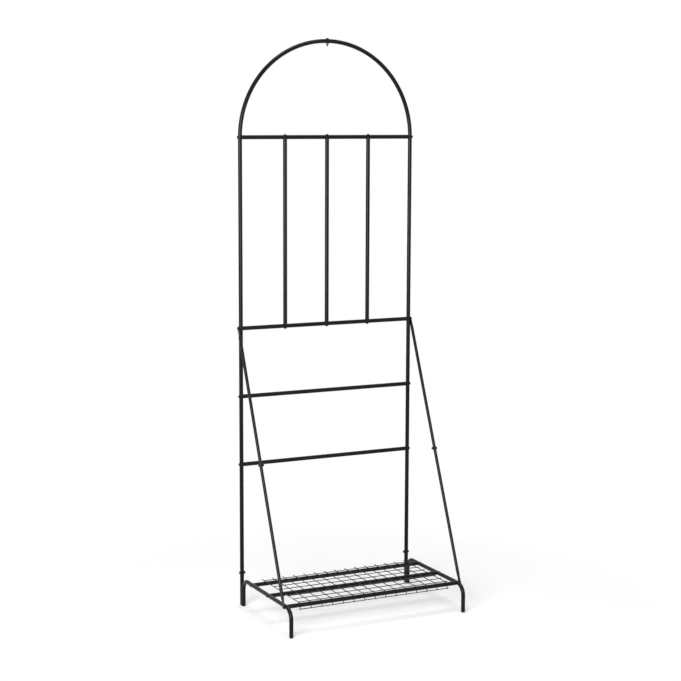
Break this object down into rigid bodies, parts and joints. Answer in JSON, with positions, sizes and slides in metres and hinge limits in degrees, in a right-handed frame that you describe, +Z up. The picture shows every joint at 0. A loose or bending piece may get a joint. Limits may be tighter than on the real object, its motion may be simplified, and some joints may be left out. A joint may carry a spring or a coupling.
{
  "type": "plant rack with trellis",
  "caption": "Free-standing plant rack of black steel tube: an arched trellis back with crossbars, diagonal side braces and a low wire-mesh shelf.",
  "frame": {"origin": "on the floor, under the middle of the rack's footprint", "axes": "+Z up; +X to the rack's right as seen by someone facing its front; +Y towards the back, where the posts stand; the shelf and braces reach forward to -Y"},
  "size_m": [0.6316, 0.39, 1.8029],
  "materials": {
    "coated_tube": "black powder coat, fine satin texture",
    "coated_wire": "black powder coat on welded wire, satin",
    "bolt_steel": "black-finished steel, satin",
    "insert_steel": "zinc-plated steel, dull",
    "foot_plastic": "moulded black plastic, matte"
  },
  "bodies": {
    "root": {"arch_post_left": "coated_tube", "arch_post_right": "coated_tube", "brace_foot_bolts": "bolt_steel", "brace_head_bolts": "bolt_steel", "brace_joint_bolts": "bolt_steel", "brace_joint_nuts": "bolt_steel", "brace_lower_left": "coated_tube", "brace_lower_right": "coated_tube", "brace_upper_left": "coated_tube", "brace_upper_right": "coated_tube", "crossbar_bolts": "bolt_steel", "crossbar_inserts": "insert_steel", "crown_bolt": "bolt_steel", "crown_nut": "bolt_steel", "front_foot_plugs": "foot_plastic", "lower_crossbar": "coated_tube", "lower_post_left": "coated_tube", "lower_post_right": "coated_tube", "rail_inserts": "insert_steel", "rear_foot_plugs": "foot_plastic", "shelf_mesh": "coated_wire", "shelf_rail_bolts": "bolt_steel", "shelf_rail_front": "coated_tube", "shelf_rail_middle": "coated_tube", "shelf_rail_rear": "coated_tube", "side_frame_left": "coated_tube", "side_frame_right": "coated_tube", "socket_bolts": "bolt_steel", "socket_nuts": "bolt_steel", "top_crossbar": "coated_tube", "trellis_bar_centre": "coated_tube", "trellis_bar_left": "coated_tube", "trellis_bar_right": "coated_tube", "trellis_bolts": "bolt_steel", "trellis_crossbar": "coated_tube", "trellis_inserts": "insert_steel", "upper_crossbar": "coated_tube"}
  },
  "joints": []
}
